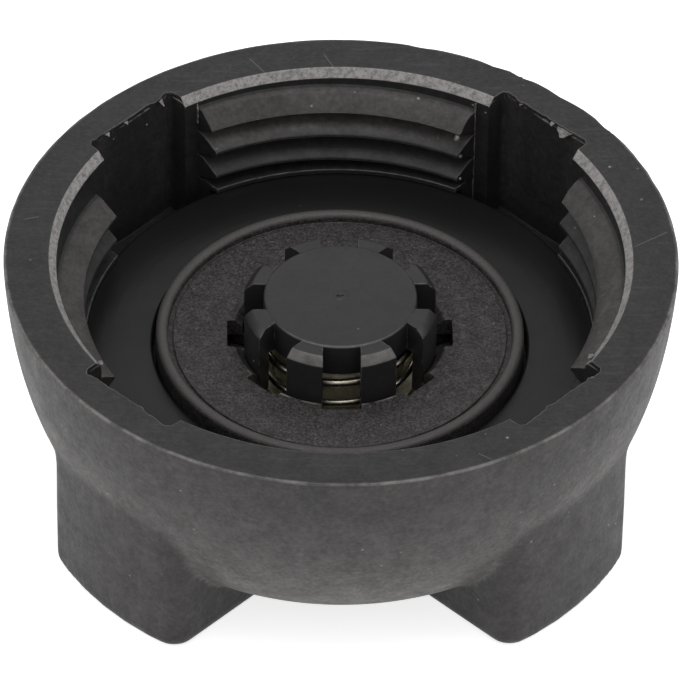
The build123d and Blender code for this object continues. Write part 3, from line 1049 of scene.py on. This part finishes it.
def make_cage():
    inner, outer = CAGE
    shoulder, slope_top = 21.7, 8.7
    teeth = turned("teeth", [(inner, CAGE_CROWN), (8.2, CAGE_CROWN), (8.2, CAGE_FOOT),
                             (outer, CAGE_FOOT), (outer, shoulder), (slope_top, CAGE_TOP),
                             (inner, CAGE_TOP)],
                   [(outer, shoulder, 0.12, 2), (slope_top, CAGE_TOP, 0.14, 2)])
    lug = bar("lug", 9.0, *LUG, CAGE_FOOT, PLATE_UNDER, (0.2, 3))
    fuse(teeth, copies_round(lug, SLOTS, 22.5))
    cut(teeth, copies_round(bar("slot", 6.9, 13, LUG[1], 14, 24), SLOTS))

    rim, disc_top, gate_top = 7.45, 22.7, 22.82
    disc = turned("disc", [(0, 21.3), (6.54, 21.3), (6.54, CAGE_CROWN), (rim, CAGE_CROWN),
                           (rim, disc_top), (0.95, disc_top), (0.72, disc_top), (0.62, gate_top),
                           (0.3, gate_top), (0, 22.62)],
                  [(rim, disc_top, 0.3, 4), (0.72, disc_top, 0.06, 2), (0.62, gate_top, 0.06, 2)])
    fuse(teeth, disc)
    put_down()
    bpy.ops.mesh.primitive_uv_sphere_add(segments=24, ring_count=12, radius=0.5 * MM,
                                         location=(-0.02 * MM, -0.1 * MM, 22.86 * MM))
    gate_pit = bpy.context.object
    gate_pit.scale = (0.95, 0.34, 0.8)
    turn_to(gate_pit, 14)
    cut(teeth, gate_pit)
    smooth(teeth, 38)
    return teeth


def coil(radius, wire, low, high, pitch, angle, taper=0):
    """A spring of round wire, with the wire's ends at low and high. Taper narrows it upwards."""
    put_down()
    bpy.ops.mesh.primitive_circle_add(vertices=16, radius=wire / 2 * MM, rotation=(pi / 2, 0, 0),
                                      location=(radius * MM, 0, low * MM))
    piece = bpy.context.object
    settle(piece)
    turns = (high - low) / pitch
    wound(piece, turns, high - low, 1, int(64 * turns))
    for vertex in piece.data.vertices:
        rise = (vertex.co.z / MM - low) / (high - low)
        out = Vector(vertex.co[:2]).length
        vertex.co.x *= 1 - taper * rise * MM / out
        vertex.co.y *= 1 - taper * rise * MM / out
    turn_to(piece, angle)
    smooth(piece, 50)
    return piece


def press(spring):
    """Gives the spring a mesh of its own."""
    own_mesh(spring)


def make_hat():
    crown, brim = 17.9, 13.2
    hat = turned("hat", [(0, crown), (6.35, crown), (6.35, brim), (7.6, brim), (7.6, 12.7),
                         (5.85, 12.7), (5.85, 17.4), (0, 17.4)],
                 [(6.35, crown, 0.75, 5), (6.35, brim, 0.3, 3), (5.85, 17.4, 0.3, 3),
                  (7.6, brim, 0.1, 2)], 96)
    smooth(hat, 40)
    return hat


keep(make_cage(), "valve_cage_moulding", "insert", "insert_plastic", cage_nylon, "valve_cage")
vacuum_coil = coil(radius=7.3, wire=0.8, low=13.7, high=18.7, pitch=2.55, angle=42)
keep(vacuum_coil, "vacuum_spring_coil", "insert", "spring_steel", drawn_wire, "vacuum_spring")
press(vacuum_coil)
pressure_coil = coil(radius=11.4, wire=1.36, low=7.72, high=10.38, pitch=1.18, angle=0, taper=4.0)
keep(pressure_coil, "pressure_spring_coil", "insert", "spring_steel", drawn_wire, "pressure_spring")
press(pressure_coil)
keep(make_hat(), "vacuum_hat_plate", "vacuum_valve", "plate_brass", pressed_brass, "vacuum_plate")


# Solids that stay as they are, with their finishes

for node, finish in (("valve_body", insert_nylon), ("spring_retainer", pressed_steel),
                     ("pressure_plate", pressed_steel), ("pressure_seal", neck_rubber),
                     ("vacuum_seal", neck_rubber)):
    frame["nodes"][node].material_slots[0].material = finish


# Floor: a hair under the foot, so that the two don't lie in one plane

put_down()
bpy.ops.mesh.primitive_plane_add(size=6, location=(0, 0, -0.02 * MM))
floor = bpy.context.object
floor.name = "floor"
white = bpy.data.materials.new("white table")
white.use_nodes = True
floor.data.materials.append(white)
table = white.node_tree
shader = table.nodes["Principled BSDF"]
shader.inputs["Base Color"].default_value = (0.8, 0.8, 0.8, 1)
shader.inputs["Roughness"].default_value = 0.9
shader.inputs["Specular IOR Level"].default_value = 0.0
shader.inputs["Emission Color"].default_value = (1, 1, 1, 1)
ray = add(table, "ShaderNodeLightPath").outputs
seen_glow, mirrored_glow = 0.72, 0.4
glow = either(table, calc(table, "MULTIPLY", ray["Is Camera Ray"], seen_glow),
              calc(table, "MULTIPLY", ray["Is Glossy Ray"], mirrored_glow))
table.links.new(glow, shader.inputs["Emission Strength"])


# Light: a pale room, and three softboxes

world = bpy.data.worlds.new("studio")
bpy.context.scene.world = world
world.use_nodes = True
sky = world.node_tree
room = sky.nodes["Background"]
room.inputs["Color"].default_value = (1, 1, 1, 1)
look_up = add(sky, "ShaderNodeSeparateXYZ")
sky.links.new(add(sky, "ShaderNodeTexCoord").outputs["Generated"], look_up.inputs[0])
level_at_horizon, level_above = 0.85, 0.65
level = ramp(sky, look_up.outputs[2], 0.0, 0.8, level_at_horizon, level_above)
seen = add(sky, "ShaderNodeLightPath").outputs["Is Camera Ray"]
sky.links.new(either(sky, level, seen), room.inputs["Strength"])

LAMP_AIM = Vector((0, 0, 0.015))


def lamp(name, size, power, place):
    data = bpy.data.lights.new(name, "AREA")
    data.shape = "RECTANGLE"
    data.size, data.size_y = size
    data.energy = power
    light = bpy.data.objects.new(name, data)
    bpy.context.collection.objects.link(light)
    light.location = place
    light.rotation_euler = (LAMP_AIM - Vector(place)).to_track_quat("-Z", "Y").to_euler()


lamp("overhead softbox", (0.45, 0.3), 0.95, (0.0, -0.12, 0.65))
lamp("left softbox", (0.2, 0.4), 0.35, (-0.5, -0.05, 0.4))
lamp("right softbox", (0.2, 0.4), 0.35, (0.5, -0.05, 0.4))

bpy.context.scene.view_settings.view_transform = "Standard"


# Camera: where the rim's ellipse in the photograph puts it

PHOTO_PIXELS = 680
FOCAL_PIXELS = 7199.5
SENSOR = 36
AIM_HEIGHT = 16.89
DISTANCE = 0.7
AZIMUTH, ELEVATION, ROLL = radians(-1.5), radians(42.03), radians(0.868)

camera_data = bpy.data.cameras.new("camera")
camera = bpy.data.objects.new("camera", camera_data)
bpy.context.collection.objects.link(camera)
bpy.context.scene.camera = camera
back = Vector((sin(AZIMUTH) * cos(ELEVATION), -cos(AZIMUTH) * cos(ELEVATION), sin(ELEVATION)))
right = Vector((cos(AZIMUTH), sin(AZIMUTH), 0))
up = back.cross(right)
tilted_right = right * cos(ROLL) + up * sin(ROLL)
tilted_up = up * cos(ROLL) - right * sin(ROLL)
stand = Matrix.Translation(Vector((0, 0, AIM_HEIGHT * MM)) + back * DISTANCE)
camera.matrix_world = stand @ Matrix((tilted_right, tilted_up, back)).transposed().to_4x4()
camera_data.sensor_width = SENSOR
camera_data.lens = SENSOR * FOCAL_PIXELS / PHOTO_PIXELS
camera_data.shift_x = 0.0003
camera_data.clip_start = 0.05
camera_data.clip_end = 20
